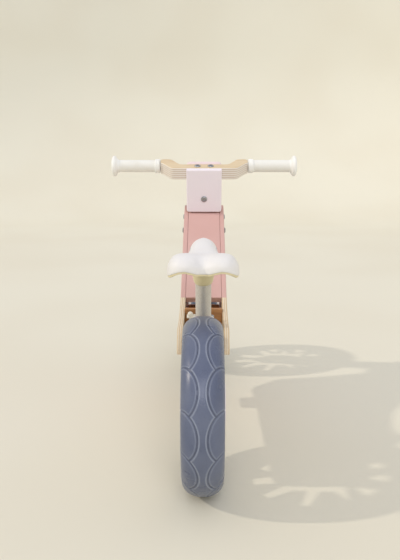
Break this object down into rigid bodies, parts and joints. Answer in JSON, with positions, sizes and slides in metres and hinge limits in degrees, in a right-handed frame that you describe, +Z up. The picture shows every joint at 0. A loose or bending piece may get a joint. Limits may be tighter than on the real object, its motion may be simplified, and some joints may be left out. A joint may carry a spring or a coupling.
{
  "type": "balance bike",
  "caption": "Child's pedal-free balance bike: plywood plate frame, foam-tyred wheels, turning fork with handlebar and a height-adjustable petal saddle.",
  "frame": {"origin": "on the ground, midway between the two axles, in the bike's middle plane", "axes": "+Z up, +Y forward in the direction of travel, +X to the rider's right"},
  "size_m": [0.3886, 0.86, 0.4895],
  "materials": {
    "plywood": "clear satin varnish",
    "pink_board": "satin pink paint",
    "pale_pink": "satin pale pink paint",
    "dropout_paint": "satin powder coat",
    "brown_wood": "bare",
    "foam_tyre": "matte moulded foam",
    "rim_plastic": "satin",
    "saddle_plastic": "satin gloss",
    "white_nylon": "matte",
    "grip_rubber": "ribbed, matte",
    "satin_steel": "brushed",
    "dark_steel": "satin"
  },
  "bodies": {
    "frame": {"side_plate_left": "plywood", "side_plate_right": "plywood", "top_board": "pink_board", "seat_crossboard": "brown_wood", "front_crossboard": "brown_wood", "belly_block": "brown_wood", "dropout_left": "dropout_paint", "dropout_right": "dropout_paint", "head_block": "brown_wood", "headset_bush_lower": "white_nylon", "headset_bush_upper": "white_nylon", "head_screw_left": "dark_steel", "head_screw_right": "dark_steel", "board_screw_left": "dark_steel", "board_screw_right": "dark_steel", "crossboard_screw_left": "dark_steel", "crossboard_screw_right": "dark_steel", "belly_screw_left": "dark_steel", "belly_screw_right": "dark_steel", "seat_tube": "satin_steel", "seat_collar": "white_nylon", "collar_bolt": "dark_steel", "collar_nut": "white_nylon", "rear_axle": "satin_steel", "rear_axle_screw_left": "dark_steel", "rear_axle_screw_right": "dark_steel"},
    "rear_wheel": {"rear_tyre": "foam_tyre", "rear_rim": "rim_plastic", "rear_bearing_sleeve": "satin_steel", "rear_bearing_left": "satin_steel", "rear_bearing_right": "satin_steel"},
    "steering": {"steerer": "satin_steel", "fork_crown": "pale_pink", "fork_blade_left": "pale_pink", "fork_blade_right": "pale_pink", "crown_screw_left": "dark_steel", "crown_screw_right": "dark_steel", "stem_rear_cheek": "pale_pink", "stem_front_plate": "pink_board", "stem_core": "brown_wood", "stem_rear_screw": "dark_steel", "stem_front_screw": "dark_steel", "handlebar": "plywood", "handlebar_screw_left": "dark_steel", "handlebar_screw_right": "dark_steel", "grip_left": "grip_rubber", "grip_right": "grip_rubber", "grip_tube_left": "satin_steel", "grip_tube_right": "satin_steel", "front_axle": "satin_steel", "front_axle_nut_left": "dark_steel", "front_axle_nut_right": "dark_steel"},
    "front_wheel": {"front_tyre": "foam_tyre", "front_rim": "rim_plastic", "front_bearing_sleeve": "satin_steel", "front_bearing_left": "satin_steel", "front_bearing_right": "satin_steel"},
    "seat": {"seat_post": "satin_steel", "saddle_socket": "white_nylon", "saddle": "saddle_plastic"}
  },
  "joints": [
    {"name": "rear_wheel_spin", "type": "hinge", "parent": "frame", "child": "rear_wheel", "pos_m": [0, -0.302, 0.128], "axis": [1, 0, 0], "continuous": true},
    {"name": "steering_turn", "type": "hinge", "parent": "frame", "child": "steering", "pos_m": [0, 0.183, 0.381], "axis": [0, -0.342, 0.9397], "range_deg": [-35, 35]},
    {"name": "front_wheel_spin", "type": "hinge", "parent": "steering", "child": "front_wheel", "pos_m": [0, 0.302, 0.128], "axis": [1, 0, 0], "continuous": true},
    {"name": "seat_height", "type": "slide", "parent": "frame", "child": "seat", "axis": [0, -0.3289, 0.9444], "range_m": [-0.02, 0.04]}
  ]
}
